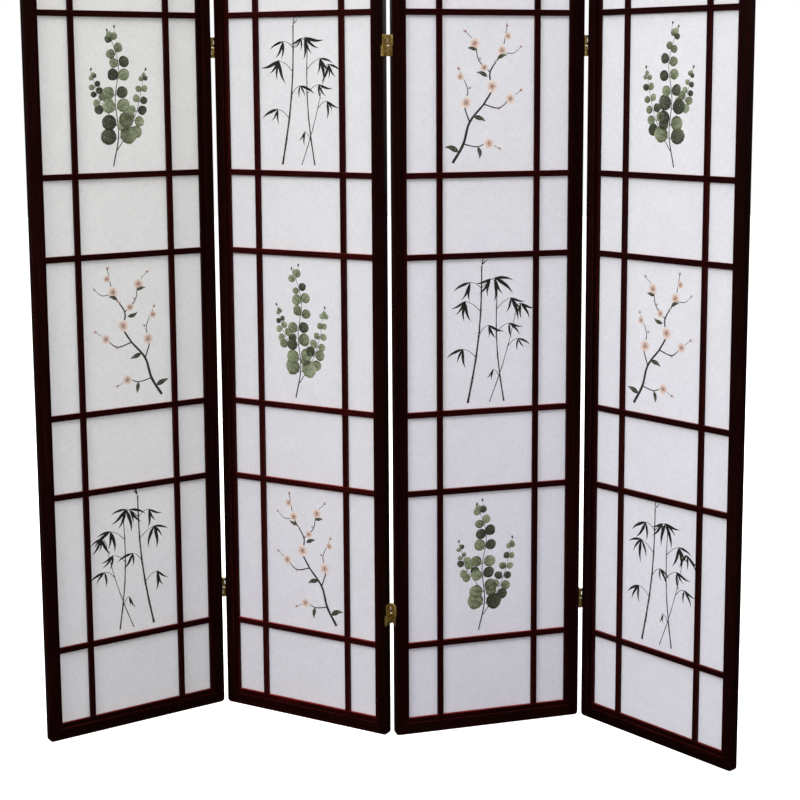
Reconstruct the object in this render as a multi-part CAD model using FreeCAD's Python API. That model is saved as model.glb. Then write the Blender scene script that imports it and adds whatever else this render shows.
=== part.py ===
import FreeCAD, Part
import math
import os

from FreeCAD import Vector

# Four-panel wooden folding screen, standing in an open zigzag.
# Millimetres, +Z up, front faces towards -Y, origin on the floor at the
# middle of the footprint.

# ---- whole screen -------------------------------------------------------
PANEL_W = 431.8          # width of one panel
PANEL_H = 1780.0         # height of one panel
PANEL_T = 20.0           # thickness of the frame
GAP = 3.6                # gap between two panels laid out flat
AXIS_PROUD = 3.2         # hinge pin centre, ahead of the wood's face
ANGLES = {1: 34.94, 2: -29.29, 3: 16.88, 4: -48.76}   # panels, from +X

# ---- frame --------------------------------------------------------------
STILE_W = 22.2
RAIL_H = 25.0
CORNER_R = 8.0           # outer corners of the panel
EDGE_R = 2.4             # rounded outer edges
INNER_R = 0.8            # eased inner edges
TENON_L = 12.0
TENON_T = 7.0
TENON_H = 13.0

# ---- lattice and paper --------------------------------------------------
BORDER_W = 10.0          # strip that runs round the opening
BAR_W = 13.0             # lattice bars
FRONT_Y0, FRONT_Y1 = -4.0, 2.0      # front grid, depth through the panel
PAPER_T = 0.3
BACK_Y0, BACK_Y1 = 2.3, 7.8         # back grid
UPRIGHT_X = 110.4        # uprights, either side of the panel's middle
BAR_Z = (201.0, 544.0, 718.4, 1061.6, 1236.0, 1579.0)   # crossbar centres
BAR_R = 0.9

# ---- two-way hinges -----------------------------------------------------
HINGE_Z = (276.0, 1509.5)     # middle of the lower and the upper hinge
HINGE_H = 45.0
HALF_GAP = 1.6           # between the upper and the lower link
LEAF_T = 0.9
LINK_T = 1.0
KNUCKLE_R = 2.3
PIN_R = 1.0
BORE_R = 1.05
KNUCKLE_GAP = 0.4
LEAF_END = 9.5           # half width of the leaf where it has no knuckle
LINK_END = 9.6
SCREW_HEAD_R = 2.8
SCREW_R = 1.4
SCREW_L = 14.0

T2 = PANEL_T / 2.0
AXIS_Y = T2 + AXIS_PROUD
HALF_H = (HINGE_H - HALF_GAP) / 2.0
KN = (HALF_H - 2 * KNUCKLE_GAP) / 3.0


def box(x0, x1, y0, y1, z0, z1):
    return Part.makeBox(x1 - x0, y1 - y0, z1 - z0, Vector(x0, y0, z0))


def edges_where(shape, test):
    out = []
    for e in shape.Edges:
        if test(e.BoundBox):
            out.append(e)
    return out


def filleted(shape, radius, test):
    es = edges_where(shape, test)
    return shape.makeFillet(radius, es) if es else shape


# ---- panel frame --------------------------------------------------------
def stile(left):
    """One upright member: outer corners rounded, outer edges rounded all
    the way round, two blind mortises for the rails."""
    w, h, r = STILE_W, PANEL_H, CORNER_R
    k = r * (1 - math.sqrt(0.5))
    p = [Vector(w, -T2, 0), Vector(r, -T2, 0), Vector(k, -T2, k), Vector(0, -T2, r),
         Vector(0, -T2, h - r), Vector(k, -T2, h - k), Vector(r, -T2, h), Vector(w, -T2, h)]
    es = [Part.LineSegment(p[0], p[1]), Part.Arc(p[1], p[2], p[3]),
          Part.LineSegment(p[3], p[4]), Part.Arc(p[4], p[5], p[6]),
          Part.LineSegment(p[6], p[7]), Part.LineSegment(p[7], p[0])]
    wire = Part.Wire([e.toShape() for e in es])
    body = Part.Face(wire).extrude(Vector(0, PANEL_T, 0))

    def outer(b):
        flat = b.YLength < 1e-3 and abs(abs(b.YMin) - T2) < 1e-3
        return flat and b.XMin < w - 1e-3
    body = filleted(body, EDGE_R, outer)
    z0 = (RAIL_H - TENON_H) / 2
    for a in (z0, h - z0 - TENON_H):
        body = body.cut(box(w - TENON_L, w + 1, -TENON_T / 2, TENON_T / 2, a, a + TENON_H))
    if not left:
        body = body.mirror(Vector(PANEL_W / 2, 0, 0), Vector(1, 0, 0))
    return body


def rail(top):
    x0, x1 = STILE_W, PANEL_W - STILE_W
    body = box(x0, x1, -T2, T2, 0, RAIL_H)
    body = filleted(body, EDGE_R, lambda b: b.XLength > 100 and b.ZMax < 1e-3)
    body = filleted(body, INNER_R, lambda b: b.XLength > 100 and b.ZMin > RAIL_H - 1e-3)
    z0 = (RAIL_H - TENON_H) / 2
    body = body.fuse(box(x0 - TENON_L, x1 + TENON_L, -TENON_T / 2, TENON_T / 2,
                         z0, z0 + TENON_H)).removeSplitter()
    if top:
        body = body.mirror(Vector(0, 0, PANEL_H / 2), Vector(0, 0, 1))
    return body


# ---- lattice: two flat grids with the paper between ----------------------
X_IN0, X_IN1 = STILE_W, PANEL_W - STILE_W
Z_IN0, Z_IN1 = RAIL_H, PANEL_H - RAIL_H


def show_side(b, y_show):
    return abs(b.YMin - y_show) < 1e-3 and abs(b.YMax - y_show) < 1e-3


def border(y0, y1, y_show):
    out = []
    for x0, x1 in ((X_IN0, X_IN0 + BORDER_W), (X_IN1 - BORDER_W, X_IN1)):
        s = box(x0, x1, y0, y1, Z_IN0, Z_IN1)
        inner = x1 if x0 < PANEL_W / 2 else x0
        s = filleted(s, BAR_R, lambda b: show_side(b, y_show) and b.ZLength > 100
                     and abs(b.XMin - inner) < 1e-3)
        out.append(s)
    for z0, z1 in ((Z_IN0, Z_IN0 + BORDER_W), (Z_IN1 - BORDER_W, Z_IN1)):
        s = box(X_IN0 + BORDER_W, X_IN1 - BORDER_W, y0, y1, z0, z1)
        inner = z1 if z0 < PANEL_H / 2 else z0
        s = filleted(s, BAR_R, lambda b: show_side(b, y_show) and b.XLength > 100
                     and abs(b.ZMin - inner) < 1e-3)
        out.append(s)
    return out


def bars(y0, y1, y_show):
    """Uprights and crossbars of one grid, half lapped where they cross.
    The upright keeps the half on the paper's side."""
    mid = (y0 + y1) / 2
    xs = (PANEL_W / 2 - UPRIGHT_X, PANEL_W / 2 + UPRIGHT_X)
    hw = BAR_W / 2
    show_low = y_show < mid
    ups, cross = [], []
    for xc in xs:
        s = box(xc - hw, xc + hw, y0, y1, Z_IN0 + BORDER_W, Z_IN1 - BORDER_W)
        s = filleted(s, BAR_R, lambda b: show_side(b, y_show) and b.ZLength > 100)
        for zc in BAR_Z:
            a, c = (y0 - 1, mid) if show_low else (mid, y1 + 1)
            s = s.cut(box(xc - hw - 1, xc + hw + 1, a, c, zc - hw, zc + hw))
        ups.append(s)
    for zc in BAR_Z:
        s = box(X_IN0 + BORDER_W, X_IN1 - BORDER_W, y0, y1, zc - hw, zc + hw)
        s = filleted(s, BAR_R, lambda b: show_side(b, y_show) and b.XLength > 100)
        for xc in xs:
            a, c = (mid, y1 + 1) if show_low else (y0 - 1, mid)
            s = s.cut(box(xc - hw, xc + hw, a, c, zc - hw - 1, zc + hw + 1))
        cross.append(s)
    return ups, cross


def paper():
    return [box(X_IN0, X_IN1, FRONT_Y1, BACK_Y0, Z_IN0, Z_IN1)]


# ---- hinge, drawn with both panels in one plane --------------------------
# x = 0 is the middle of the gap, the left leaf is at x < 0. Each hinge has
# an upper and a lower half. In the upper half the link joins the left leaf
# at the back pin to the right leaf at the front pin; in the lower half the
# link joins left-front to right-back. So the pair folds either way.
def cyl(r, x, y, z0, z1):
    return Part.makeCylinder(r, z1 - z0, Vector(x, y, z0))


def knuckle_spans(z0):
    """Three knuckles stacked in one half: outer, inner, outer."""
    a = z0
    b = a + KN + KNUCKLE_GAP
    c = b + KN + KNUCKLE_GAP
    return [(a, a + KN), (b, b + KN), (c, c + KN)]


def leaf(side, zc):
    """side -1: left leaf, +1: right leaf."""
    xw = side * GAP / 2
    xi = xw - side * LEAF_T
    x0, x1 = min(xw, xi), max(xw, xi)
    low, high = zc - HINGE_H / 2, zc + HALF_GAP / 2
    s = box(x0, x1, -LEAF_END, LEAF_END, zc - HINGE_H / 2, zc + HINGE_H / 2)
    halves = ((low, -1 if side < 0 else 1), (high, 1 if side < 0 else -1))
    for z0, ydir in halves:
        sp = knuckle_spans(z0)
        for k in (0, 2):
            a, b = sp[k]
            ya, yb = sorted((ydir * (LEAF_END - 1), ydir * (AXIS_Y - 0.4)))
            s = s.fuse(box(x0, x1, ya, yb, a, b))
            s = s.fuse(cyl(KNUCKLE_R, 0, ydir * AXIS_Y, a, b))
        s = s.cut(cyl(PIN_R, 0, ydir * AXIS_Y, z0 - 1, z0 + HALF_H + 1))
        # the link's own knuckle turns in this notch
        a, b = sp[1]
        s = s.cut(cyl(KNUCKLE_R + 0.5, 0, ydir * AXIS_Y, a - KNUCKLE_GAP, b + KNUCKLE_GAP))
    s = s.removeSplitter()
    for y, z in screw_places(zc):
        s = s.cut(countersink(side, y, z))
    return s


def link(upper, zc):
    z0 = zc + HALF_GAP / 2 if upper else zc - HINGE_H / 2
    sp = knuckle_spans(z0)
    s = box(-LINK_T / 2, LINK_T / 2, -LINK_END, LINK_END, z0, z0 + HALF_H)
    for ydir in (-1, 1):
        a, b = sp[1]
        ya, yb = sorted((ydir * (LINK_END - 1), ydir * (AXIS_Y - 2.0)))
        s = s.fuse(box(-LINK_T / 2, LINK_T / 2, ya, yb, a, b))
        s = s.fuse(cyl(KNUCKLE_R, 0, ydir * AXIS_Y, a, b))
        s = s.cut(cyl(BORE_R, 0, ydir * AXIS_Y, z0 - 1, z0 + HALF_H + 1))
    s = s.removeSplitter()
    # two driver holes, so that the screws behind the link can be reached
    for y, z in screw_places(zc):
        if (z > zc) == upper:
            s = s.cut(Part.makeCylinder(SCREW_HEAD_R + 0.4, 2 * LINK_T,
                                        Vector(-LINK_T, y, z), Vector(1, 0, 0)))
    return s


def pin(ydir, upper, zc):
    z0 = zc + HALF_GAP / 2 if upper else zc - HINGE_H / 2
    s = cyl(PIN_R, 0, ydir * AXIS_Y, z0, z0 + HALF_H)
    return s.makeFillet(0.3, [e for e in s.Edges if e.BoundBox.ZLength < 1e-3])


def screw_places(zc):
    return [(-4.6, zc + 15.2), (4.6, zc + 6.8), (-4.6, zc - 6.8), (4.6, zc - 15.2)]


def countersink(side, y, z):
    """Room for a screw in leaf and stile: head cone, then shank."""
    x_in = side * (GAP / 2 - LEAF_T)
    d = Vector(side, 0, 0)
    p = Vector(x_in, y, z)
    cone = Part.makeCone(SCREW_HEAD_R, SCREW_R, SCREW_HEAD_R - SCREW_R, p, d)
    lead = Part.makeCylinder(SCREW_HEAD_R, 0.5, p - d * 0.5, d)
    shank = Part.makeCylinder(SCREW_R, SCREW_L - 1.2, p + d * 0.5, d)
    tip = Part.makeCone(SCREW_R, 0.3, 1.9, p + d * (SCREW_L - 0.7), d)
    return cone.fuse(shank).fuse(tip).fuse(lead).removeSplitter()


def screw(side, y, z):
    x_in = side * (GAP / 2 - LEAF_T)
    d = Vector(side, 0, 0)
    p = Vector(x_in, y, z)
    cone = Part.makeCone(SCREW_HEAD_R, SCREW_R, SCREW_HEAD_R - SCREW_R, p, d)
    shank = Part.makeCylinder(SCREW_R, SCREW_L - 1.2, p + d * 0.5, d)
    tip = Part.makeCone(SCREW_R, 0.3, 1.9, p + d * (SCREW_L - 0.7), d)
    s = cone.fuse(shank).fuse(tip).removeSplitter()
    # cross recess in the head
    for wy, wz in ((3.2, 0.7), (0.7, 3.2)):
        b = Part.makeBox(1.4, wy, wz, Vector(-0.7, -wy / 2, -wz / 2))
        b.translate(p)
        s = s.cut(b)
    return s


# ---- placing -------------------------------------------------------------
def rot(a, x, y):
    c, s = math.cos(math.radians(a)), math.sin(math.radians(a))
    return (c * x - s * y, s * x + c * y)


def chain():
    """Position of each panel's own origin (left end, mid thickness), found
    from the pins they share: 1-2 and 3-4 turn on the front pin, 2-3 on the
    back pin."""
    g = GAP / 2
    t, ax = {}, {}
    p = rot(ANGLES[3], -g, AXIS_Y)
    t[3] = (-p[0], -p[1])
    p = rot(ANGLES[2], PANEL_W + g, AXIS_Y)
    t[2] = (-p[0], -p[1])
    ax['23'] = (0.0, 0.0)
    p = rot(ANGLES[2], -g, -AXIS_Y)
    ax['12'] = (p[0] + t[2][0], p[1] + t[2][1])
    p = rot(ANGLES[1], PANEL_W + g, -AXIS_Y)
    t[1] = (ax['12'][0] - p[0], ax['12'][1] - p[1])
    p = rot(ANGLES[3], PANEL_W + g, -AXIS_Y)
    ax['34'] = (p[0] + t[3][0], p[1] + t[3][1])
    p = rot(ANGLES[4], -g, -AXIS_Y)
    t[4] = (ax['34'][0] - p[0], ax['34'][1] - p[1])
    return t, ax


PLACE, AXES = chain()


def footprint_middle():
    """Middle of the plan outline: the panels' rounded corners and the
    hinge knuckles."""
    rounds = []
    r = EDGE_R
    for n in (1, 2, 3, 4):
        for x in (r, PANEL_W - r):
            for y in (-T2 + r, T2 - r):
                rounds.append((n, x, y, r))
    for a, b in ((1, 2), (2, 3), (3, 4)):
        for y in (-AXIS_Y, AXIS_Y):
            rounds.append((a, PANEL_W + GAP / 2, y, KNUCKLE_R))
            rounds.append((b, -GAP / 2, y, KNUCKLE_R))
    lo, hi = [1e9, 1e9], [-1e9, -1e9]
    for n, x, y, rr in rounds:
        p = rot(ANGLES[n], x, y)
        for i in (0, 1):
            lo[i] = min(lo[i], p[i] + PLACE[n][i] - rr)
            hi[i] = max(hi[i], p[i] + PLACE[n][i] + rr)
    return ((lo[0] + hi[0]) / 2, (lo[1] + hi[1]) / 2)


ORIGIN_SHIFT = footprint_middle()


def placed(shapes, n, x_mid=0.0):
    """Shapes drawn in panel n's own frame, moved to where it stands."""
    out = []
    pl = FreeCAD.Placement(Vector(PLACE[n][0] - ORIGIN_SHIFT[0],
                                  PLACE[n][1] - ORIGIN_SHIFT[1], 0),
                           FreeCAD.Rotation(Vector(0, 0, 1), ANGLES[n]))
    for s in shapes:
        c = s.copy()
        if x_mid:
            c.translate(Vector(x_mid, 0, 0))
        c.Placement = pl.multiply(c.Placement)
        out.append(c)
    return out


NODES = {}

RIGHT_MID = PANEL_W + GAP / 2
LEFT_MID = -GAP / 2


def stile_with_screw_holes(n, left):
    s = stile(left)
    hinged = (left and n > 1) or (not left and n < 4)
    if hinged:
        side, mid = (1, LEFT_MID) if left else (-1, RIGHT_MID)
        for zc in HINGE_Z:
            for y, z in screw_places(zc):
                c = countersink(side, y, z)
                c.translate(Vector(mid, 0, 0))
                s = s.cut(c)
    return s


for n in (1, 2, 3, 4):
    pre = 'panel_%d_' % n
    NODES[pre + 'left_stile'] = placed([stile_with_screw_holes(n, True)], n)
    NODES[pre + 'right_stile'] = placed([stile_with_screw_holes(n, False)], n)
    NODES[pre + 'top_rail'] = placed([rail(True)], n)
    NODES[pre + 'bottom_rail'] = placed([rail(False)], n)
    fu, fc = bars(FRONT_Y0, FRONT_Y1, FRONT_Y0)
    bu, bc = bars(BACK_Y0, BACK_Y1, BACK_Y1)
    NODES[pre + 'lattice_uprights'] = placed(fu + bu, n)
    NODES[pre + 'lattice_crossbars'] = placed(fc + bc, n)
    NODES[pre + 'lattice_border'] = placed(border(FRONT_Y0, FRONT_Y1, FRONT_Y0)
                                           + border(BACK_Y0, BACK_Y1, BACK_Y1), n)
    NODES[pre + 'paper'] = placed(paper(), n)
    screws = []
    if n < 4:
        screws += placed([screw(-1, y, z) for zc in HINGE_Z for y, z in screw_places(zc)],
                         n, RIGHT_MID)
    if n > 1:
        screws += placed([screw(1, y, z) for zc in HINGE_Z for y, z in screw_places(zc)],
                         n, LEFT_MID)
    NODES[pre + 'hinge_screws'] = screws

for a, b, front_fold in ((1, 2, True), (2, 3, False), (3, 4, True)):
    pre = 'hinge_%d%d_' % (a, b)
    NODES[pre + 'left_leaves'] = placed([leaf(-1, z) for z in HINGE_Z], a, RIGHT_MID)
    NODES[pre + 'right_leaves'] = placed([leaf(1, z) for z in HINGE_Z], b, LEFT_MID)
    up = [link(True, z) for z in HINGE_Z]
    lo = [link(False, z) for z in HINGE_Z]
    if front_fold:
        NODES[pre + 'upper_links'] = placed(up, a, RIGHT_MID)
        NODES[pre + 'lower_links'] = placed(lo, b, LEFT_MID)
    else:
        NODES[pre + 'upper_links'] = placed(up, b, LEFT_MID)
        NODES[pre + 'lower_links'] = placed(lo, a, RIGHT_MID)
    NODES[pre + 'left_pins'] = placed([pin(y, u, z) for z in HINGE_Z
                                       for y, u in ((1, True), (-1, False))], a, RIGHT_MID)
    NODES[pre + 'right_pins'] = placed([pin(y, u, z) for z in HINGE_Z
                                        for y, u in ((-1, True), (1, False))], b, LEFT_MID)

os.makedirs("parts", exist_ok=True)
for name, shapes in NODES.items():
    shape = shapes[0] if len(shapes) == 1 else Part.makeCompound(shapes)
    shape.exportStep("parts/%s.step" % name)

bb = FreeCAD.BoundBox()
for shapes in NODES.values():
    for s in shapes:
        bb.add(s.BoundBox)
print("nodes", len(NODES), "solids", sum(len(s.Solids) for v in NODES.values() for s in v))
print("box", [round(v, 3) for v in (bb.XMin, bb.XMax, bb.YMin, bb.YMax, bb.ZMin, bb.ZMax)])
for k, p in AXES.items():
    print("axis", k, round(p[0] - ORIGIN_SHIFT[0], 4), round(p[1] - ORIGIN_SHIFT[1], 4))
for n in (1, 2, 3, 4):
    print("panel", n, [round(PLACE[n][i] - ORIGIN_SHIFT[i], 4) for i in (0, 1)])
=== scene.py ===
import math
import random

import bpy
from mathutils import Matrix, Vector


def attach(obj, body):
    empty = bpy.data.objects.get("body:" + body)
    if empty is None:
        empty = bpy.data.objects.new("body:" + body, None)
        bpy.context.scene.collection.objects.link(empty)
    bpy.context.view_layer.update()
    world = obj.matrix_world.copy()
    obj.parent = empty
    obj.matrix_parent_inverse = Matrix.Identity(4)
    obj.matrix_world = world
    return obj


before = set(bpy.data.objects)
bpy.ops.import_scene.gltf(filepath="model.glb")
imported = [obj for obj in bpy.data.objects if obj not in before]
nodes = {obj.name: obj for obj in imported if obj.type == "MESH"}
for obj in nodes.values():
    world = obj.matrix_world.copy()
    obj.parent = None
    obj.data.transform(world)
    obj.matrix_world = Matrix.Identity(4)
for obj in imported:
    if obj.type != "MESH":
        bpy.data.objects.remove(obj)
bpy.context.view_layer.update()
sc = bpy.context.scene

# ---- where each panel stands ---------------------------------------------
# Panel frame, in metres: x along the panel from its left end, y through it
# (front face at -0.010), z up.
ANGLES = {1: 34.94, 2: -29.29, 3: 16.88, 4: -48.76}
PLACE = {1: (-0.7387358, -0.0442856), 2: (-0.3677036, 0.2038562),
         3: (0.0224758, -0.0088702), 4: (0.4523394, 0.1117502)}
MID_X = 0.2159
CELL_Z = (0.3725, 0.890, 1.4075)      # middles of the three tall cells
PAPER_FRONT = 0.002


def panel_point(n, x, y, z):
    a = math.radians(ANGLES[n])
    c, s = math.cos(a), math.sin(a)
    return Vector((PLACE[n][0] + c * x - s * y, PLACE[n][1] + s * x + c * y, z))


# ---- node helpers ----------------------------------------------------------
class Tree:
    def __init__(self, name):
        self.mat = bpy.data.materials.new(name)
        self.mat.use_nodes = True
        self.nt = self.mat.node_tree
        self.nt.nodes.clear()

    def add(self, kind, ins=None, **props):
        n = self.nt.nodes.new(kind)
        for k, v in props.items():
            setattr(n, k, v)
        for k, v in (ins or {}).items():
            sock = n.inputs[k]
            if isinstance(v, bpy.types.NodeSocket):
                self.nt.links.new(v, sock)
            else:
                sock.default_value = v
        return n

    def math(self, op, a, b=0.0, c=0.0, clamp=False):
        return self.add("ShaderNodeMath", {0: a, 1: b, 2: c}, operation=op, use_clamp=clamp).outputs[0]

    def vmath(self, op, a, b):
        return self.add("ShaderNodeVectorMath", {0: a, 1: b}, operation=op).outputs[0]

    def ramp01(self, v, a, b, lo=0.0, hi=1.0, smooth=True):
        return self.add("ShaderNodeMapRange", {"Value": v, "From Min": a, "From Max": b,
                                               "To Min": lo, "To Max": hi},
                        interpolation_type="SMOOTHSTEP" if smooth else "LINEAR").outputs[0]

    def noise(self, vec, scale, detail=2.0, rough=0.5, distort=0.0, flat=False):
        return self.add("ShaderNodeTexNoise", {"Vector": vec, "Scale": scale, "Detail": detail,
                                               "Roughness": rough, "Distortion": distort},
                        noise_dimensions="2D" if flat else "3D").outputs[0]

    def colour_ramp(self, fac, stops):
        n = self.add("ShaderNodeValToRGB", {"Fac": fac})
        el = n.color_ramp.elements
        while len(el) < len(stops):
            el.new(0.5)
        for e, (p, c) in zip(el, stops):
            e.position = p
            e.color = (c[0], c[1], c[2], 1.0)
        return n.outputs[0]

    def mix(self, fac, a, b, mode="MIX"):
        n = self.add("ShaderNodeMix", data_type="RGBA", blend_type=mode)
        for i, v in ((0, fac), (6, a), (7, b)):
            if isinstance(v, bpy.types.NodeSocket):
                self.nt.links.new(v, n.inputs[i])
            elif i == 0:
                n.inputs[i].default_value = v
            else:
                n.inputs[i].default_value = (v[0], v[1], v[2], 1.0)
        return n.outputs[2]

    def mix_vec(self, fac, a, b):
        n = self.add("ShaderNodeMix", data_type="VECTOR")
        for i, v in ((0, fac), (4, a), (5, b)):
            if isinstance(v, bpy.types.NodeSocket):
                self.nt.links.new(v, n.inputs[i])
            else:
                n.inputs[i].default_value = v
        return n.outputs[1]

    def bump(self, height, distance, strength=1.0, normal=None):
        ins = {"Height": height, "Distance": distance, "Strength": strength}
        if normal is not None:
            ins["Normal"] = normal
        return self.add("ShaderNodeBump", ins).outputs[0]

    def panel_coords(self, n):
        """Object coordinates turned and moved into panel n's own frame."""
        tc = self.add("ShaderNodeTexCoord").outputs["Object"]
        a = math.radians(ANGLES[n])
        c, s = math.cos(-a), math.sin(-a)
        px, py = PLACE[n]
        return self.add("ShaderNodeMapping",
                        {"Vector": tc, "Location": (-(c * px - s * py), -(s * px + c * py), 0.0),
                         "Rotation": (0.0, 0.0, -a)}, vector_type="POINT").outputs[0]

    def scaled(self, vec, scale, shift=(0.0, 0.0, 0.0)):
        return self.add("ShaderNodeMapping", {"Vector": vec, "Location": shift, "Scale": scale},
                        vector_type="POINT").outputs[0]

    def out(self, shader):
        o = self.add("ShaderNodeOutputMaterial")
        self.nt.links.new(shader, o.inputs["Surface"])
        return self.mat


# ---- wood ------------------------------------------------------------------
FRAME_STOPS = ((0.0, (0.0013, 0.0007, 0.0007)), (0.32, (0.0045, 0.0012, 0.0010)),
               (0.60, (0.0088, 0.0016, 0.0014)), (0.80, (0.0234, 0.0031, 0.0027)),
               (1.0, (0.0765, 0.0081, 0.0068)))
LATTICE_STOPS = ((0.0, (0.0082, 0.0016, 0.0014)), (0.32, (0.0189, 0.0025, 0.0022)),
                 (0.60, (0.0310, 0.0034, 0.0030)), (0.80, (0.0679, 0.0065, 0.0055)),
                 (1.0, (0.1649, 0.0143, 0.0117)))
# One tone per panel for each kind of member, set against the photo, so part
# of it is the light there and not the stain.
FRAME_TONE = {1: 1.0, 2: 0.84, 3: 0.88, 4: 0.84}
LATTICE_TONE = {1: 0.38, 2: 0.86, 3: 0.53, 4: 0.46}
BORDER_TONE = {1: 0.82, 2: 0.64, 3: 0.84, 4: 0.88}      # against the bars beside it
RAIL_TONE = {1: 1.0, 2: 1.22, 3: 1.55, 4: 0.85}         # against the stiles

# one tone per panel again, so part of each is painted light and shade on that panel and not the stain
BAR_TONE = {1: 1.08, 2: 0.92, 3: 1.08, 4: 0.89}          # against the lattice
UPRIGHT_TONE = {1: 1.29, 2: 1.0, 3: 0.86, 4: 1.20}


def toned(stops, k):
    return tuple((p, tuple(c * k for c in col)) for p, col in stops)


def wood(name, n, part, stops, seed):
    """Dark red-brown lacquer over a fine straight grain. part is 'stile',
    'rail', 'upright', 'bar' or 'border' (upright strips at the sides, level
    strips above and below)."""
    t = Tree(name)
    p = t.panel_coords(n)
    sep = t.add("ShaderNodeSeparateXYZ", {0: p})
    x, y, z = sep.outputs[0], sep.outputs[1], sep.outputs[2]
    rnd = random.Random(seed)
    shift = tuple(rnd.uniform(-9, 9) for _ in range(3))
    along = 0.055
    side = t.math("ABSOLUTE", t.math("SUBTRACT", x, MID_X))
    tall = t.math("ABSOLUTE", t.math("SUBTRACT", z, 0.89))
    if part in ("stile", "upright"):
        g = t.scaled(p, (1.0, 1.0, along), shift)
    elif part in ("rail", "bar"):
        g = t.scaled(p, (along, 1.0, 1.0), shift)
    else:
        g = t.mix_vec(t.math("GREATER_THAN", side, 0.1837), t.scaled(p, (along, 1.0, 1.0), shift),
                      t.scaled(p, (1.0, 1.0, along), shift))

    def off(v, centre, half):
        """How far inside a strip of this half width, measured from its edge."""
        return t.math("SUBTRACT", half, t.math("ABSOLUTE", t.math("SUBTRACT", v, centre)))

    # the lacquer is thinner, so redder, along the worked edges, and the lighter edges are also in part a painted
    # highlight along the arrises
    if part == "stile":
        across, deep = off(side, 0.2048, 0.0111), off(y, 0.0, 0.010)
    elif part == "rail":
        across, deep = off(tall, 0.8775, 0.0125), off(y, 0.0, 0.010)
    elif part == "upright":
        across, deep = off(side, 0.1104, 0.0065), off(y, 0.0019, 0.0059)
    elif part == "bar":
        a = t.math("MAXIMUM", off(tall, 0.689, 0.0065), off(tall, 0.346, 0.0065))
        across, deep = t.math("MAXIMUM", a, off(tall, 0.1716, 0.0065)), off(y, 0.0019, 0.0059)
    else:
        a = t.math("MINIMUM", t.math("ABSOLUTE", t.math("SUBTRACT", side, 0.1837)),
                   t.math("ABSOLUTE", t.math("SUBTRACT", tall, 0.855)))
        across, deep = a, off(y, 0.0019, 0.0059)
    reach = 0.0022 if part in ("stile", "rail") else 0.0012
    edge = t.ramp01(t.math("MAXIMUM", across, deep), reach, 0.0002)
    edge = t.math("MULTIPLY", edge, t.ramp01(t.noise(p, 90.0, 2.0, 0.6), 0.30, 0.62, 0.30, 1.0))
    # and the upper faces lighter and redder: painted light falling from above
    up = t.add("ShaderNodeSeparateXYZ", {0: t.add("ShaderNodeNewGeometry").outputs["Normal"]}).outputs[2]
    painted_top_light = t.ramp01(up, 0.30, 0.85)

    # broad figure, growth bands, streaks, pores
    broad = t.noise(g, 26.0, 2.0, 0.55)
    bands = t.add("ShaderNodeTexWave", {"Vector": g, "Scale": 48.0, "Distortion": 3.0, "Detail": 1.0,
                                        "Detail Scale": 1.4, "Detail Roughness": 0.55},
                  wave_type="RINGS", rings_direction="X" if part in ("rail", "bar") else "Z",
                  wave_profile="SIN").outputs[1]
    streak = t.noise(g, 240.0, 3.0, 0.62)
    pores = t.ramp01(t.noise(g, 980.0, 0.0), 0.60, 0.70)
    f = t.math("MULTIPLY_ADD", broad, 0.62, 0.0)
    f = t.math("MULTIPLY_ADD", bands, 0.12, f)
    f = t.math("MULTIPLY_ADD", streak, 0.52, f)
    patch = t.math("SUBTRACT", t.noise(p, 9.0, 1.0, 0.5), 0.5)
    f = t.math("MULTIPLY_ADD", patch, 0.10 if part in ("stile", "rail") else 0.34, t.math("SUBTRACT", f, 0.13))
    # lift the edges (worn lacquer and painted highlight) and the upper faces (painted light from above)
    f = t.math("MULTIPLY_ADD", edge, 0.24 if part in ("stile", "rail") else 0.36, f)
    f = t.math("MULTIPLY_ADD", painted_top_light, {"stile": 0.12, "rail": 0.12, "border": 0.60}.get(part, 0.50), f, clamp=True)
    col = t.colour_ramp(f, stops)
    dark = t.math("MULTIPLY", pores, 0.42)
    joint = None
    if part in ("stile", "rail"):
        # hairline joints where the rails butt against the stiles
        at_rail = t.math("GREATER_THAN", tall, 0.865)
        line = t.ramp01(t.math("ABSOLUTE", t.math("SUBTRACT", side, 0.1937)), 0.00035, 0.00008)
        joint = t.math("MULTIPLY", at_rail, line)
        dark = t.math("MAXIMUM", dark, t.math("MULTIPLY", joint, 0.85))
    col = t.mix(dark, col, (0.0010, 0.0005, 0.0005))
    if part in ("upright", "bar"):
        tone = (BAR_TONE if part == "bar" else UPRIGHT_TONE)[n]
        col = t.mix(1.0, col, (tone, tone, tone), "MULTIPLY")
    # painted light from above: the upper faces of the lattice strips and bars made lighter and redder again
    if part in ("upright", "bar", "border"):
        k = (1.8 if n == 4 else 2.3, 1.5, 1.5) if part == "border" else (1.7, 1.25, 1.25)
        col = t.mix(painted_top_light, col, t.mix(1.0, col, k, "MULTIPLY"))
    # scuffs in the lacquer
    haze = t.noise(p, 14.0, 2.0, 0.6)
    rough = t.math("ADD", t.ramp01(haze, 0.32, 0.70, 0.30, 0.44),
                   t.math("MULTIPLY", t.math("SUBTRACT", streak, 0.5), 0.16))
    h = t.math("MULTIPLY_ADD", streak, 0.45, t.math("MULTIPLY", pores, -0.55))
    if joint is not None:
        h = t.math("SUBTRACT", h, t.math("MULTIPLY", joint, 1.6))
    nn = t.bump(h, 0.00012, 0.5)
    b = t.add("ShaderNodeBsdfPrincipled", {"Base Color": col, "Roughness": rough, "Normal": nn,
                                           "Specular IOR Level": 0.05,
                                           "Specular Tint": (1.0, 0.42, 0.38, 1.0)})
    return t.out(b.outputs[0])


# ---- paper -----------------------------------------------------------------
# one paper colour per panel; how they differ stands for the light on each panel: painted light and shade
PAPER_TINT = {1: (0.823, 0.819, 0.818), 2: (0.781, 0.774, 0.802),
              3: (0.787, 0.778, 0.826), 4: (0.824, 0.820, 0.857)}


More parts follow.
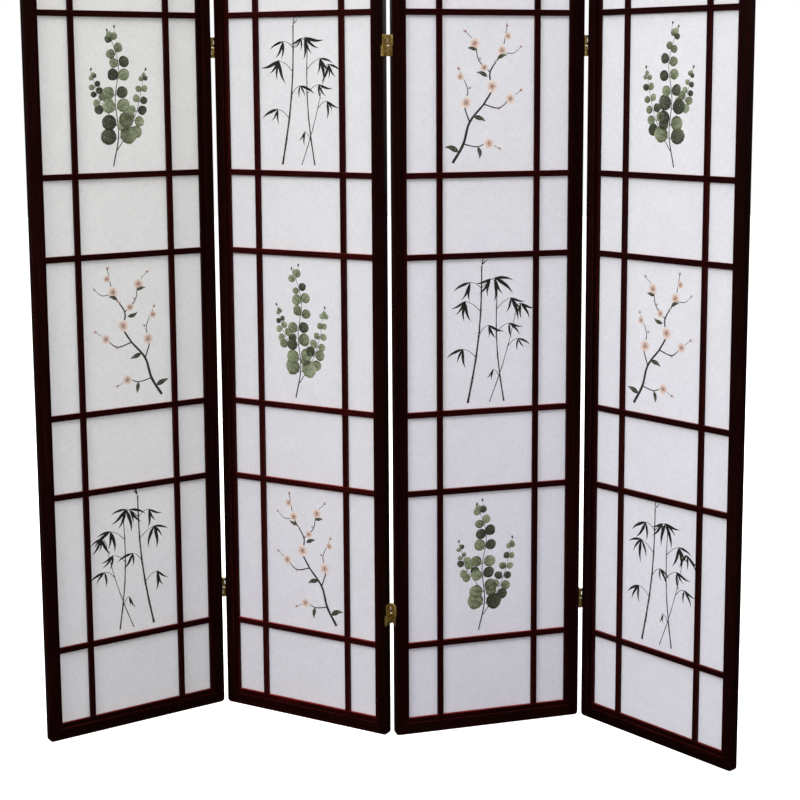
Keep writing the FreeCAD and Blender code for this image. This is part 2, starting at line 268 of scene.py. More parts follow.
def paper(name, n, seed):
    """White fibrous paper, a little translucent."""
    t = Tree(name)
    p = t.add("ShaderNodeSeparateXYZ", {0: t.panel_coords(n)})
    x, z = p.outputs[0], p.outputs[2]
    rnd = random.Random(seed)
    p = t.add("ShaderNodeCombineXYZ", {0: x, 1: z}).outputs[0]
    q = t.scaled(p, (1.0, 1.0, 1.0), tuple(rnd.uniform(-5, 5) for _ in range(3)))
    cloud = t.noise(q, 22.0, 3.0, 0.6, flat=True)
    mottle = t.noise(q, 150.0, 3.0, 0.68, flat=True)
    tooth = t.noise(q, 900.0, 2.0, 0.6, flat=True)
    bent = t.add("ShaderNodeTexNoise", {"Vector": q, "Scale": 16.0, "Detail": 2.0},
                 noise_dimensions="2D").outputs[1]
    bent = t.vmath("SUBTRACT", bent, (0.5, 0.5, 0.5))
    bent = t.scaled(bent, (0.10, 0.10, 0.10))
    fibre = None
    for k, (sx, sz, cut) in enumerate(((46.0, 9.0, 0.030), (8.0, 50.0, 0.026), (30.0, 28.0, 0.020))):
        w = t.scaled(t.vmath("ADD", q, bent), (sx, sz, 1.0), (k * 3.3, k * 1.7, 0.0))
        v = t.add("ShaderNodeTexVoronoi", {"Vector": w, "Scale": 1.0, "Randomness": 1.0},
                  feature="DISTANCE_TO_EDGE", voronoi_dimensions="2D").outputs["Distance"]
        line = t.ramp01(v, cut, 0.0)
        gate = t.ramp01(t.noise(t.scaled(q, (1.0, 1.0, 1.0), (k * 4.1, 2.0, 0.0)), 34.0, 1.0, flat=True),
                        0.50, 0.64)
        line = t.math("MULTIPLY", line, gate)
        fibre = line if fibre is None else t.math("MAXIMUM", fibre, line)
    tint = PAPER_TINT[n]
    low = tuple(c * 0.955 for c in tint)
    high = tuple(min(1.0, c * 1.035) for c in tint)
    f = t.math("MULTIPLY_ADD", cloud, 0.55, t.math("MULTIPLY", mottle, 0.62))
    f = t.ramp01(t.math("SUBTRACT", f, 0.08), 0.2, 0.8, 0.0, 1.0, smooth=False)
    col = t.mix(f, low, high)
    grain = t.math("ADD", t.noise(t.scaled(q, (1.0, 0.22, 1.0)), 330.0, 1.0, 0.5, flat=True),
                   t.noise(t.scaled(q, (0.22, 1.0, 1.0)), 330.0, 1.0, 0.5, flat=True))
    col = t.mix(t.ramp01(grain, 0.55, 1.45, 0.0, 1.0, smooth=False), t.mix(1.0, col, (0.95, 0.95, 0.955), "MULTIPLY"),
                t.mix(1.0, col, (1.048, 1.048, 1.044), "MULTIPLY"))
    col = t.mix(t.math("MULTIPLY", fibre, 0.30), col, (0.90, 0.90, 0.90))
    col = t.mix(t.ramp01(tooth, 0.62, 0.78, 0.0, 0.10), col, (0.66, 0.65, 0.66))
    # bluer towards the bottom, a touch warmer towards the top: painted shade colour low down
    col = t.mix(1.0, col, t.mix(t.ramp01(z, 1.55, 0.10), (0.995, 1.003, 0.994), (1.002, 0.997, 1.028)), "MULTIPLY")
    slack = t.noise(q, 6.0, 0.0, flat=True)
    n0 = t.bump(slack, 0.0018, 0.5)
    n1 = t.bump(grain, 0.00012, 0.7, n0)
    b = t.add("ShaderNodeBsdfPrincipled", {"Base Color": col, "Roughness": 0.88, "Normal": n1,
                                           "Specular IOR Level": 0.22})
    tr = t.add("ShaderNodeBsdfTranslucent", {"Color": t.mix(0.5, col, (0.84, 0.80, 0.74)), "Normal": n1})
    m = t.add("ShaderNodeMixShader", {0: 0.16, 1: b.outputs[0], 2: tr.outputs[0]})
    return t.out(m.outputs[0])


# ---- metal -----------------------------------------------------------------
def brass(name, stops, rough_lo, rough_hi, seed, spec_scratch=0.5):
    """Aged brass plate: gold and brown in blotches, dark pits, fine scratches."""
    t = Tree(name)
    tc = t.add("ShaderNodeTexCoord").outputs["Object"]
    rnd = random.Random(seed)
    q = t.scaled(tc, (1.0, 1.0, 1.0), tuple(rnd.uniform(-5, 5) for _ in range(3)))
    cloud = t.noise(q, 190.0, 3.0, 0.62, 0.3)
    spots = t.noise(q, 640.0, 2.0, 0.65)
    scr = t.noise(t.scaled(q, (1.0, 1.0, 0.03)), 1500.0, 3.0, 0.6)
    scr2 = t.noise(t.scaled(q, (0.05, 0.05, 1.0)), 1100.0, 2.0, 0.6)
    f = t.math("MULTIPLY_ADD", t.math("SUBTRACT", cloud, 0.5), 2.2,
               t.math("MULTIPLY_ADD", t.math("SUBTRACT", spots, 0.5), 1.0, 0.47))
    f = t.math("MULTIPLY_ADD", t.ramp01(scr, 0.56, 0.72), 0.22, f, clamp=True)
    col = t.colour_ramp(f, stops)
    pits = t.ramp01(t.noise(q, 1300.0, 2.0, 0.6), 0.64, 0.74, 0.0, 0.7)
    col = t.mix(pits, col, (0.030, 0.018, 0.006))
    rough = t.math("MULTIPLY_ADD", t.ramp01(f, 0.25, 0.75, rough_hi, rough_lo), 1.0,
                   t.math("MULTIPLY", pits, 0.25))
    h = t.math("MULTIPLY_ADD", scr, spec_scratch, t.math("MULTIPLY_ADD", scr2, spec_scratch * 0.6, spots))
    h = t.math("MULTIPLY_ADD", cloud, 2.0, h)
    nn = t.bump(h, 0.00016, 0.6)
    b = t.add("ShaderNodeBsdfPrincipled", {"Base Color": col, "Metallic": 0.90, "Roughness": rough,
                                           "Normal": nn, "Specular IOR Level": 0.5})
    return t.out(b.outputs[0])


BRASS_STOPS = ((0.0, (0.16, 0.095, 0.022)), (0.28, (0.38, 0.24, 0.055)),
               (0.52, (0.70, 0.50, 0.14)), (0.78, (0.93, 0.74, 0.31)), (1.0, (0.99, 0.90, 0.60)))
PIN_STOPS = ((0.0, (0.12, 0.075, 0.020)), (0.45, (0.48, 0.34, 0.11)),
             (0.7, (0.80, 0.66, 0.30)), (1.0, (1.0, 0.93, 0.66)))
SCREW_STOPS = ((0.0, (0.12, 0.090, 0.040)), (0.45, (0.42, 0.32, 0.14)),
               (0.7, (0.66, 0.56, 0.30)), (1.0, (0.92, 0.85, 0.60)))

brass_plate = brass("aged_brass", BRASS_STOPS, 0.24, 0.46, 11)
brass_pin = brass("pin_brass", PIN_STOPS, 0.20, 0.38, 12)
brass_screw = brass("screw_brass", SCREW_STOPS, 0.26, 0.44, 13)


def give(node, mat):
    o = nodes[node]
    o.data.materials.clear()
    o.data.materials.append(mat)
    for poly in o.data.polygons:
        poly.material_index = 0


for n in (1, 2, 3, 4):
    pre = "panel_%d_" % n
    stained = toned(FRAME_STOPS, FRAME_TONE[n])
    frame_z = wood("frame_upright_%d" % n, n, "stile", stained, 20 + n)
    frame_x = wood("frame_level_%d" % n, n, "rail", toned(stained, RAIL_TONE[n]), 30 + n)
    lattice = toned(LATTICE_STOPS, LATTICE_TONE[n])
    lat_z = wood("lattice_upright_%d" % n, n, "upright", lattice, 40 + n)
    lat_x = wood("lattice_level_%d" % n, n, "bar", lattice, 50 + n)
    lat_b = wood("lattice_border_%d" % n, n, "border", toned(lattice, BORDER_TONE[n]), 60 + n)
    give(pre + "left_stile", frame_z)
    give(pre + "right_stile", frame_z)
    give(pre + "top_rail", frame_x)
    give(pre + "bottom_rail", frame_x)
    give(pre + "lattice_uprights", lat_z)
    give(pre + "lattice_crossbars", lat_x)
    give(pre + "lattice_border", lat_b)
    give(pre + "paper", paper("paper_%d" % n, n, 70 + n))
    give(pre + "hinge_screws", brass_screw)
for ab in ("12", "23", "34"):
    for part in ("left_leaves", "right_leaves", "upper_links", "lower_links"):
        give("hinge_%s_%s" % (ab, part), brass_plate)
    for part in ("left_pins", "right_pins"):
        give("hinge_%s_%s" % (ab, part), brass_pin)


# ---- painted plants on the paper -------------------------------------------
def paint(name, stops, noise_scale, amount, speck=0.0, rough=0.8):
    """Paint soaked into paper: tone runs along each stroke, pools at its
    edges, breaks up over the paper's tooth and leaves flecks bare."""
    t = Tree(name)
    at = t.add("ShaderNodeAttribute", attribute_name="tone", attribute_type="GEOMETRY")
    sep = t.add("ShaderNodeSeparateColor", {0: at.outputs["Color"]})
    tc = t.add("ShaderNodeTexCoord").outputs["Object"]
    blot = t.noise(tc, noise_scale, 3.0, 0.65)
    grain = t.noise(tc, 1400.0, 2.0, 0.6)
    f = t.math("MULTIPLY_ADD", t.math("SUBTRACT", blot, 0.5), amount, sep.outputs[0])
    f = t.math("MULTIPLY_ADD", t.math("SUBTRACT", grain, 0.5), amount * 0.6, f)
    f = t.math("MULTIPLY_ADD", t.math("SUBTRACT", sep.outputs[2], 0.5), 0.12, f)
    pool = t.ramp01(sep.outputs[1], 0.45, 1.0, 0.0, 0.26)
    f = t.math("SUBTRACT", f, pool, clamp=True)
    col = t.colour_ramp(f, stops)
    if speck:
        bare = t.ramp01(t.noise(tc, 330.0, 3.0, 0.7), 0.60, 0.68, 0.0, speck)
        bare = t.math("MULTIPLY", bare, t.ramp01(sep.outputs[1], 0.95, 0.75))
        col = t.mix(bare, col, (0.76, 0.76, 0.72))
    nn = t.bump(grain, 0.00004, 0.4)
    b = t.add("ShaderNodeBsdfPrincipled", {"Base Color": col, "Roughness": rough, "Normal": nn,
                                           "Specular IOR Level": 0.2})
    return t.out(b.outputs[0])


INK = paint("paint_ink", ((0.0, (0.008, 0.009, 0.007)), (0.5, (0.022, 0.023, 0.018)),
                          (0.8, (0.060, 0.062, 0.050)), (1.0, (0.15, 0.155, 0.135))), 160.0, 0.45)
GREEN = paint("paint_green", ((0.0, (0.042, 0.044, 0.024)), (0.30, (0.110, 0.120, 0.064)),
                              (0.58, (0.225, 0.258, 0.148)), (0.82, (0.340, 0.384, 0.245)),
                              (1.0, (0.52, 0.54, 0.40))), 95.0, 0.75, speck=0.60)
DEEP = paint("paint_deep_green", ((0.0, (0.014, 0.016, 0.010)), (0.5, (0.043, 0.048, 0.030)),
                                  (0.8, (0.092, 0.100, 0.066)), (1.0, (0.20, 0.21, 0.15))), 170.0, 0.6,
             speck=0.35)
STEM = paint("paint_stem", ((0.0, (0.012, 0.015, 0.012)), (0.5, (0.033, 0.040, 0.031)),
                            (1.0, (0.11, 0.125, 0.10))), 150.0, 0.5)
PINK = paint("paint_pink", ((0.0, (0.43, 0.25, 0.19)), (0.30, (0.66, 0.48, 0.41)),
                            (0.62, (0.80, 0.68, 0.62)), (1.0, (0.86, 0.80, 0.77))), 140.0, 0.35)
GOLD = paint("paint_ochre", ((0.0, (0.065, 0.045, 0.018)), (0.5, (0.17, 0.115, 0.045)),
                             (1.0, (0.42, 0.32, 0.15))), 140.0, 0.4)
PAINTS = (INK, GREEN, DEEP, STEM, PINK, GOLD)
K_INK, K_GREEN, K_DEEP, K_STEM, K_PINK, K_GOLD = range(6)


def curve_through(ctrl, steps):
    """Catmull-Rom points through the control points."""
    pts = [Vector(c) for c in ctrl]
    if len(pts) == 2:
        return [pts[0].lerp(pts[1], i / steps) for i in range(steps + 1)]
    ext = [pts[0] * 2 - pts[1]] + pts + [pts[-1] * 2 - pts[-2]]
    out = []
    for k in range(len(pts) - 1):
        p0, p1, p2, p3 = ext[k:k + 4]
        last = k == len(pts) - 2
        for i in range(steps + (1 if last else 0)):
            u = i / steps
            out.append(0.5 * ((2 * p1) + (p2 - p0) * u + (2 * p0 - 5 * p1 + 4 * p2 - p3) * u * u
                              + (3 * p1 - p0 - 3 * p2 + p3) * u ** 3))
    return out


class Sheet:
    """Strokes of paint on one cell of one panel. Sizes in millimetres from
    the middle of the cell; every stroke is a thin closed solid."""

    def __init__(self, name, panel, z_mid, flip, seed):
        self.name, self.panel, self.z_mid, self.flip = name, panel, z_mid, flip
        self.rnd = random.Random(seed)
        self.verts, self.faces, self.mats, self.tone = [], [], [], []
        self.layer = 0

    def stroke(self, ctrl, widths, paint_id, tone=(0.2, 0.6), steps=6, level=None):
        """widths: half widths at even places along the stroke."""
        pts = curve_through(ctrl, steps)
        m = len(pts)
        if level is None:
            self.layer = (self.layer + 1) % 9
            level = 1 + self.layer
        front = PAPER_FRONT * 1000 - 0.05 - 0.006 * level
        back = PAPER_FRONT * 1000 - 0.02
        tag = self.rnd.random()
        base = len(self.verts)
        sgn = -1.0 if self.flip else 1.0
        for i, c in enumerate(pts):
            d = (pts[min(i + 1, m - 1)] - pts[max(i - 1, 0)]).normalized()
            nn = Vector((-d.y, d.x))
            s = i / (m - 1)
            k = s * (len(widths) - 1)
            j = min(int(k), len(widths) - 2)
            w = max(0.03, widths[j] + (widths[j + 1] - widths[j]) * (k - j))
            w *= 1.0 + 0.05 * math.sin(i * 1.7 + tag * 6)
            tn = tone[0] + (tone[1] - tone[0]) * s
            for off, e in ((w, 1.0), (0.0, 0.0), (-w, 1.0)):
                q = c + nn * off
                for yy in (front, back):
                    self.verts.append(panel_point(self.panel, MID_X + sgn * q.x / 1000, yy / 1000,
                                                  self.z_mid + q.y / 1000))
                    self.tone.append((tn, e, tag, 1.0))
        f = []
        for i in range(m - 1):
            a, b = base + 6 * i, base + 6 * (i + 1)
            f += [(a, b, b + 2, a + 2), (a + 2, b + 2, b + 4, a + 4),
                  (a + 3, b + 3, b + 1, a + 1), (a + 5, b + 5, b + 3, a + 3),
                  (a + 1, b + 1, b, a), (a + 4, b + 4, b + 5, a + 5)]
        a, b = base, base + 6 * (m - 1)
        f += [(a, a + 2, a + 3, a + 1), (a + 2, a + 4, a + 5, a + 3),
              (b + 1, b + 3, b + 2, b), (b + 3, b + 5, b + 4, b + 2)]
        if not self.flip:
            f = [tuple(reversed(q)) for q in f]
        self.faces += f
        self.mats += [paint_id] * len(f)

    def leaf(self, at, angle, length, half, paint_id, tone=(0.15, 0.7), bend=0.12, profile=None, level=None,
             steps=5):
        a = math.radians(angle)
        d = Vector((math.cos(a), math.sin(a)))
        nn = Vector((-d.y, d.x))
        p = Vector(at)
        ctrl = [p, p + d * length * 0.33 + nn * length * bend * 0.8,
                p + d * length * 0.68 + nn * length * bend, p + d * length]
        prof = profile or (0.10, 0.55, 0.90, 1.0, 0.86, 0.58, 0.28, 0.02)
        self.stroke(ctrl, [half * v for v in prof], paint_id, tone, steps, level)
        return ctrl

    def disc(self, at, r, paint_id, tone=(0.3, 0.6), level=None):
        p = Vector(at)
        prof = [math.sqrt(max(0.0, 1 - (2 * k / 8 - 1) ** 2)) for k in range(9)]
        self.stroke([p + Vector((-r, 0)), p + Vector((r, 0))], [r * v for v in prof], paint_id, tone, 8, level)

    def build(self):
        me = bpy.data.meshes.new(self.name)
        me.from_pydata([tuple(v) for v in self.verts], [], self.faces)
        for m in PAINTS:
            me.materials.append(m)
        me.polygons.foreach_set("material_index", self.mats)
        att = me.color_attributes.new(name="tone", type="FLOAT_COLOR", domain="POINT")
        flat = [v for c in self.tone for v in c]
        att.data.foreach_set("color", flat)
        me.validate()
        me.update()
        o = bpy.data.objects.new(self.name, me)
        sc.collection.objects.link(o)
        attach(o, "panel_%d" % self.panel)
        return o


def bamboo(s):
    """Jointed canes with clusters of drooping blades, in dark ink."""
    r = s.rnd

    def cane(x0, y0, x1, y1, bow, half, parts):
        pts = []
        for k in range(parts + 1):
            u = k / parts
            pts.append(Vector((x0 + (x1 - x0) * u + bow * math.sin(math.pi * u), y0 + (y1 - y0) * u)))
        for k in range(parts):
            a, b = pts[k], pts[k + 1]
            d = (b - a).normalized()
            h = half * (1.0 - 0.45 * k / parts)
            s.stroke([a + d * 0.9, a.lerp(b, 0.5), b - d * 0.9], [h * 1.22, h, h * 0.92, h, h * 1.18], K_INK,
                     (0.30 + 0.25 * r.random(), 0.55 + 0.3 * r.random()), 6, 0)
            if k:
                nn = Vector((-d.y, d.x))
                s.stroke([a - nn * h * 1.8 + d * 1.0, a - d * 0.2, a + nn * h * 1.8 + d * 1.0],
                         [0.25, 0.7, 0.3], K_INK, (0.1, 0.1), 4)
        return pts

    def tuft(at, aim, size, count):
        for k in range(count):
            ang = aim + (k - (count - 1) / 2) * 30 + r.uniform(-7, 7)
            ln = size * r.uniform(0.66, 1.08)
            s.leaf(at, ang, ln, ln * 0.074, K_INK, (0.02 + 0.2 * r.random(), 0.40 + 0.3 * r.random()),
                   0.07 * (1 if r.random() > 0.5 else -1),
                   (0.10, 0.66, 1.0, 0.97, 0.80, 0.56, 0.3, 0.02))

    main = cane(-46, -153, -14, 150, 10, 2.3, 6)
    side = cane(38, -153, 22, 104, -9, 1.6, 5)
    thin = cane(4, -153, 66, 52, 6, 1.0, 5)
    for pts, k, dx, dy, aim, size, cnt in (
            (main, 5, 30, 22, -52, 52, 4), (main, 5, -26, 14, -122, 44, 3), (main, 4, -36, 24, -112, 50, 4),
            (main, 3, 22, 20, -58, 40, 3), (main, 2, -30, 20, -118, 44, 3), (side, 4, 34, 24, -60, 50, 4),
            (side, 3, 30, 20, -50, 40, 3), (side, 5, -16, 16, -128, 40, 3), (thin, 5, 10, 12, -70, 44, 4),
            (thin, 3, 24, 16, -58, 38, 3), (side, 1, -16, 22, -108, 34, 2)):
        a = pts[k]
        b = a + Vector((dx, dy))
        s.stroke([a, a.lerp(b, 0.5) + Vector((0, 4)), b], [0.8, 0.62, 0.45], K_INK, (0.2, 0.4), 6)
        tuft(b, aim, size, cnt)
    tuft(main[6], 60, 24, 2)


def gum(s):
    """Two arching stems of round, paired leaves in soft grey-green."""
    r = s.rnd

    def round_leaf(at, ang, rad, deep):
        paint_id = K_DEEP if deep else K_GREEN
        lo = 0.15 + 0.25 * r.random()
        sweep = r.uniform(-0.10, 0.10)
        ctrl = s.leaf(at, ang, rad * 1.95, rad * r.uniform(0.86, 1.0), paint_id, (lo + 0.10, lo + 0.48), sweep,
                      (0.05, 0.50, 0.70, 0.84, 0.93, 0.99, 1.0, 0.98, 0.93, 0.84, 0.70, 0.48, 0.02), steps=8)
        rib = curve_through(ctrl, 6)
        s.stroke(rib[:-3], [0.55, 0.42, 0.30, 0.16], K_STEM, (0.3, 0.6), 1, 11)
        if rad > 9:
            for k in (4, 7, 10, 13):
                p = rib[k]
                d = (rib[k + 1] - rib[k]).normalized()
                for sd in (1, -1):
                    e = p + (d * 0.72 + Vector((-d.y, d.x)) * sd * 0.70) * rad * (0.80 if k < 12 else 0.46)
                    s.stroke([p, p.lerp(e, 0.5) + d * rad * 0.03, e], [0.24, 0.20, 0.10], K_DEEP, (0.4, 0.9), 3, 12)

    def spray(ctrl, width, pairs, first, big, small):
        s.stroke(ctrl, [width, width * 0.8, width * 0.62, width * 0.45, width * 0.3], K_STEM, (0.15, 0.45), 10, 0)
        path = curve_through(ctrl, 24)
        for k in range(pairs):
            u = first + (0.97 - first) * k / (pairs - 1)
            i = min(int(u * (len(path) - 1)), len(path) - 2)
            p, d = path[i], (path[i + 1] - path[i]).normalized()
            ang = math.degrees(math.atan2(d.y, d.x))
            rad = (big + (small - big) * (k / (pairs - 1)) ** 0.9) * r.uniform(0.88, 1.08)
            for sd in (1, -1):
                turn = sd * (74 - 30 * k / (pairs - 1)) + r.uniform(-10, 10)
                a = math.radians(ang + turn)
                q = p + Vector((math.cos(a), math.sin(a))) * rad * 0.22 + d * (1.5 if sd > 0 else -1.5)
                s.stroke([p, q], [0.5, 0.4], K_STEM, (0.2, 0.4), 2, 1)
                round_leaf(q, ang + turn, rad * r.uniform(0.90, 1.05), r.random() < 0.26)
        d = (path[-1] - path[-3]).normalized()
        round_leaf(path[-1], math.degrees(math.atan2(d.y, d.x)), small * 0.8, False)

    spray([(20, -152), (6, -84), (12, -10), (2, 62), (18, 122)], 1.5, 8, 0.22, 20.0, 9.0)
    spray([(10, -118), (-20, -74), (-42, -22), (-56, 38)], 1.0, 6, 0.34, 13.5, 6.5)
    spray([(8, -66), (32, -34), (52, -2), (62, 40)], 0.8, 5, 0.42, 11.5, 5.5)
    for x, y in ((26, 134), (10, 142), (-60, 52), (67, 52)):
        s.stroke([(x * 0.82, y - 12), (x, y)], [0.35, 0.3], K_STEM, (0.3, 0.5), 3, 1)
        s.leaf((x, y), r.uniform(60, 120), 7.5, 2.2, K_DEEP, (0.2, 0.6), 0.0, (0.3, 0.9, 1.0, 0.7, 0.05))


def blossom(s):
    """An angular branch with open five-petalled flowers, buds and young leaves."""
    r = s.rnd

    def twig(ctrl, a, b):
        s.stroke(ctrl, [a, a * 0.9 + b * 0.1, (a + b) / 2, b], K_STEM,
                 (0.10 + 0.2 * r.random(), 0.45 + 0.3 * r.random()), 6, 0)

    def flower(at, rad, turn):
        p = Vector(at)
        for k in range(5):
            ang = turn + 72 * k + r.uniform(-4, 4)
            a = math.radians(ang)
            s.leaf(p + Vector((math.cos(a), math.sin(a))) * rad * 0.10, ang, rad * r.uniform(0.92, 1.06), rad * 0.42,
                   K_PINK, (0.10 + 0.15 * r.random(), 1.0), 0.0,
                   (0.16, 0.34, 0.60, 0.84, 0.98, 1.0, 0.86, 0.50, 0.08), 2 + k, 6)
            for off in (-14, 0, 14):
                b = math.radians(ang + off)
                d = Vector((math.cos(b), math.sin(b)))
                s.stroke([p + d * rad * 0.22, p + d * rad * (0.74 if off else 0.92)], [0.26, 0.12], K_PINK,
                         (0.0, 0.25), 3, 8)
        for k in range(7):
            ang = math.radians(turn + 20 + 51.4 * k)
            d = Vector((math.cos(ang), math.sin(ang)))
            reach = rad * (0.42 if k % 2 else 0.33)
            s.stroke([p, p + d * reach], [0.17, 0.13], K_GOLD, (0.3, 0.5), 3, 9)
            s.disc(p + d * (reach + 0.4), 0.55, K_GOLD, (0.0, 0.3), 10)
        s.disc(p, rad * 0.11, K_GOLD, (0.05, 0.3), 11)

    def bud(at, ang, size):
        s.leaf(at, ang, size * 1.9, size * 0.8, K_PINK, (0.05, 0.6), 0.0,
               (0.45, 0.85, 1.0, 0.95, 0.80, 0.5, 0.12))
        a = math.radians(ang)
        s.leaf(Vector(at) - Vector((math.cos(a), math.sin(a))) * 1.2,
               ang, size * 0.9, size * 0.5, K_STEM, (0.2, 0.5), 0.0, (0.7, 1.0, 0.7, 0.1))

    def young(at, ang, length):
        ctrl = s.leaf(at, ang, length, length * 0.17, K_DEEP, (0.15, 0.75), r.uniform(-0.14, 0.14),
                      (0.06, 0.55, 0.92, 1.0, 0.86, 0.60, 0.32, 0.02), steps=6)
        s.stroke(curve_through(ctrl, 4)[:-2], [0.3, 0.22, 0.12], K_GREEN, (0.5, 0.9), 1, 11)

    twig([(80, -146), (56, -106), (42, -60), (10, -22)], 3.0, 2.1)
    twig([(10, -22), (-8, 10), (-4, 46), (-30, 88), (-42, 142)], 2.1, 0.7)
    twig([(42, -60), (54, -22), (46, 8), (64, 48)], 1.5, 0.55)
    twig([(-4, 46), (22, 72), (30, 108), (50, 130)], 1.25, 0.45)
    twig([(10, -22), (-24, -30), (-48, -12), (-72, 6)], 1.4, 0.45)
    twig([(56, -106), (24, -112), (0, -104), (-24, -116)], 1.25, 0.45)
    twig([(-30, 88), (-56, 86), (-72, 98)], 0.9, 0.4)
    for at, rad, turn in (((-9, 16), 13.5, 12), ((-31, 92), 12.0, 40), ((31, 106), 12.5, 66), ((50, -18), 13.0, 25),
                          ((-50, -10), 11.5, 5), ((-2, -105), 12.0, 50), ((9, 56), 9.5, 80), ((-44, 122), 9.0, 18),
                          ((63, 36), 9.0, 60)):
        flower(at, rad, turn)
    for at, ang, size in (((-42, 143), 96, 3.8), ((51, 131), 40, 3.6), ((66, 52), 70, 3.8), ((-73, 7), 150, 3.6),
                          ((-25, -116), 200, 3.6), ((-73, 99), 130, 3.2), ((43, 12), 150, 3.2),
                          ((-24, -30), 260, 3.2), ((-15, 68), 170, 3.0), ((18, 74), 20, 2.8)):
        bud(at, ang, size)
    for at, ang, length in (((66, -124), 20, 34), ((34, -48), 200, 30), ((2, 36), 20, 26), ((-20, 74), 160, 24),
                            ((24, -112), 262, 26), ((26, 92), 12, 22)):
        young(at, ang, length)


LAYOUT = {1: (bamboo, blossom, gum), 2: (blossom, gum, bamboo),
          3: (gum, bamboo, blossom), 4: (bamboo, blossom, gum)}   # bottom to top
for n in (1, 2, 3, 4):
    for k, draw in enumerate(LAYOUT[n]):
        sh = Sheet("panel_%d_print_%s" % (n, ("lower", "middle", "upper")[k]), n, CELL_Z[k],
                   (n + k) % 2 == 1, 100 + 10 * n + k)
        draw(sh)
        sh.build()


# ---- camera ------------------------------------------------------------------
cam = bpy.data.cameras.new("camera")
cam.sensor_fit = "HORIZONTAL"
cam.sensor_width = 36.0
cam.lens = 75.1372
cam.shift_x, cam.shift_y = -0.024474, -0.098899
cam.clip_start, cam.clip_end = 0.05, 60.0
yaw, pitch, roll = -0.0023820, -0.1448201, -0.0035909
fwd = Vector((math.sin(yaw) * math.cos(pitch), math.cos(yaw) * math.cos(pitch), math.sin(pitch)))
right = Vector((math.cos(yaw), -math.sin(yaw), 0.0))
upv = right.cross(fwd)
r2 = right * math.cos(roll) + upv * math.sin(roll)
u2 = upv * math.cos(roll) - right * math.sin(roll)
cam_o = bpy.data.objects.new("camera", cam)
sc.collection.objects.link(cam_o)
m = Matrix((r2, u2, -fwd)).transposed().to_4x4()
m.translation = Vector((0.0886364, -3.5443652, 1.442999))
cam_o.matrix_world = m
sc.camera = cam_o

# ---- floor, light, world -------------------------------------------------------
floor_me = bpy.data.meshes.new("floor")
F = 14.0
floor_me.from_pydata([(-F, -F, -0.0006), (F, -F, -0.0006), (F, F, -0.0006), (-F, F, -0.0006)], [], [(0, 1, 2, 3)])
floor = bpy.data.objects.new("floor", floor_me)
sc.collection.objects.link(floor)
# the floor glows as well as taking light: painted light, dimmer near the screen and brighter far off, so it reads
# plain white and the screen's contact shadows still show
t = Tree("floor_pale")
away = t.add("ShaderNodeVectorMath", {0: t.add("ShaderNodeTexCoord").outputs["Object"]},
             operation="LENGTH").outputs["Value"]
d = t.add("ShaderNodeBsdfDiffuse", {"Color": (0.86, 0.86, 0.86, 1.0)})
e = t.add("ShaderNodeEmission", {"Color": (1.0, 1.0, 1.0, 1.0),
                                 "Strength": t.ramp01(away, 0.9, 2.6, 0.78, 1.05)})
a = t.add("ShaderNodeAddShader", {0: d.outputs[0], 1: e.outputs[0]})
floor_me.materials.append(t.out(a.outputs[0]))
floor.visible_glossy = False
floor.visible_diffuse = False


def area(name, loc, aim, size, power, colour=(1.0, 1.0, 1.0)):
    li = bpy.data.lights.new(name, "AREA")
    li.shape = "RECTANGLE"
    li.size, li.size_y = size
    li.energy = power
    li.color = colour
    o = bpy.data.objects.new(name, li)
    sc.collection.objects.link(o)
    o.location = loc
    o.rotation_mode = "QUATERNION"
    o.rotation_quaternion = (Vector(aim) - Vector(loc)).to_track_quat("-Z", "Y")
    return o


for name, loc, aim, size, power, shows in (
        ("high_left", (-4.2, -4.2, 7.2), (0.0, 0.0, 0.9), (2.6, 2.6), 150.0, True),
        ("high_front", (0.0, -4.0, 7.0), (0.0, 0.0, 0.9), (2.6, 2.6), 137.0, True),
        ("far_left", (-5.0, -5.5, 5.0), (0.0, 0.0, 0.9), (2.0, 2.0), 202.0, False),
        ("overhead", (0.0, -0.2, 4.6), (0.0, -0.2, 0.0), (2.6, 0.6), 30.0, True),
        ("near_mid", (0.6, -2.4, 1.3), (0.3, 0.0, 1.0), (1.0, 1.0), 13.2, False),
        ("near_left", (-0.9, -2.4, 1.3), (0.0, 0.0, 1.0), (1.0, 1.0), 5.8, False),
        ("near_right", (1.9, -1.9, 3.6), (0.0, 0.0, 1.2), (1.2, 1.2), 18.0, True),
        ("side_right", (3.8, -1.0, 2.4), (0.0, 0.0, 1.0), (1.4, 1.4), 22.9, True),
        ("side_left", (-3.8, -1.0, 2.4), (0.0, 0.0, 1.0), (1.4, 1.4), 14.0, True),
        ("back_fill", (-1.2, 3.4, 2.8), (0.0, 0.0, 0.9), (2.4, 1.4), 110.0, True),
        ("back_right", (2.6, 2.8, 2.4), (0.0, 0.0, 0.9), (1.6, 1.6), 60.0, True)):
    o = area(name, loc, aim, size, power)
    o.visible_glossy = shows
    o.visible_camera = False

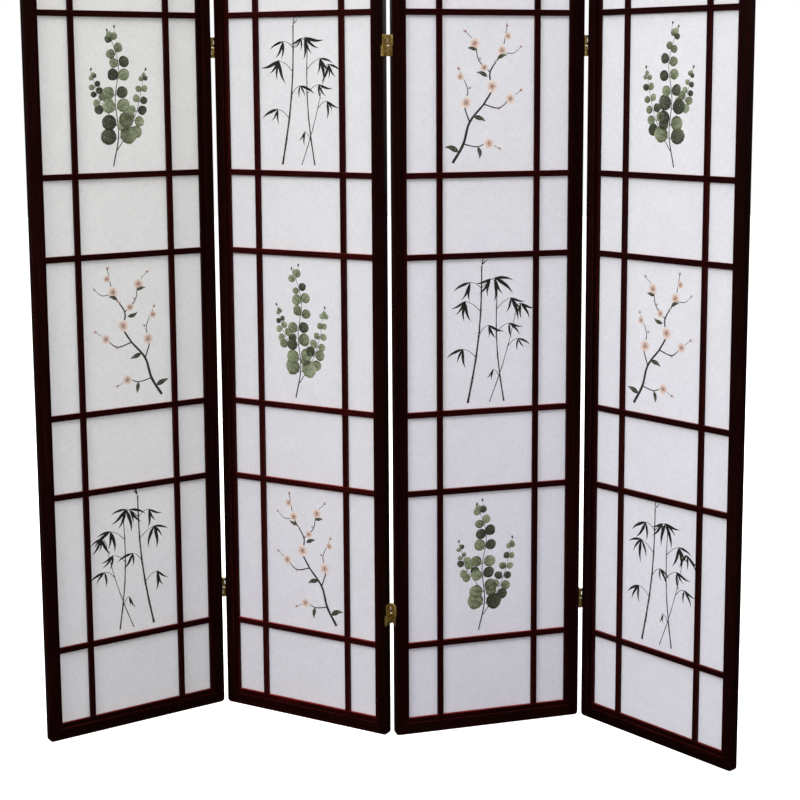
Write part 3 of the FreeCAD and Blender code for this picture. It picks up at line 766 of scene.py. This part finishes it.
world = bpy.data.worlds.new("world")
sc.world = world
world.use_nodes = True
wt = world.node_tree
wt.nodes.clear()
lp = wt.nodes.new("ShaderNodeLightPath")
bg_cam = wt.nodes.new("ShaderNodeBackground")
bg_cam.inputs[0].default_value = (1.0, 1.0, 1.0, 1.0)
bg_cam.inputs[1].default_value = 1.0
bg_dif = wt.nodes.new("ShaderNodeBackground")
tcw = wt.nodes.new("ShaderNodeTexCoord")
sepw = wt.nodes.new("ShaderNodeSeparateXYZ")
wt.links.new(tcw.outputs["Generated"], sepw.inputs[0])
mr = wt.nodes.new("ShaderNodeMapRange")
mr.inputs["From Min"].default_value = -0.35
mr.inputs["From Max"].default_value = 0.55
mr.inputs["To Min"].default_value = 0.05
mr.inputs["To Max"].default_value = 1.0
wt.links.new(sepw.outputs[2], mr.inputs["Value"])
wt.links.new(mr.outputs[0], bg_dif.inputs[0])
WORLD_DIFFUSE = 0.44
bg_dif.inputs[1].default_value = WORLD_DIFFUSE
bg_glo = wt.nodes.new("ShaderNodeBackground")
mg = wt.nodes.new("ShaderNodeMapRange")
mg.inputs["From Min"].default_value = -0.10
mg.inputs["From Max"].default_value = 0.80
mg.inputs["To Min"].default_value = 0.10
mg.inputs["To Max"].default_value = 1.0
wt.links.new(sepw.outputs[2], mg.inputs["Value"])
wt.links.new(mg.outputs[0], bg_glo.inputs[0])
bg_glo.inputs[1].default_value = 0.55
mix1 = wt.nodes.new("ShaderNodeMixShader")
mix2 = wt.nodes.new("ShaderNodeMixShader")
wo = wt.nodes.new("ShaderNodeOutputWorld")
wt.links.new(lp.outputs["Is Glossy Ray"], mix1.inputs[0])
wt.links.new(bg_dif.outputs[0], mix1.inputs[1])
wt.links.new(bg_glo.outputs[0], mix1.inputs[2])
wt.links.new(lp.outputs["Is Camera Ray"], mix2.inputs[0])
wt.links.new(mix1.outputs[0], mix2.inputs[1])
wt.links.new(bg_cam.outputs[0], mix2.inputs[2])
wt.links.new(mix2.outputs[0], wo.inputs[0])

sc.view_settings.view_transform = "Standard"
sc.view_settings.look = "None"
sc.view_settings.exposure = 0.0
sc.view_settings.gamma = 1.0
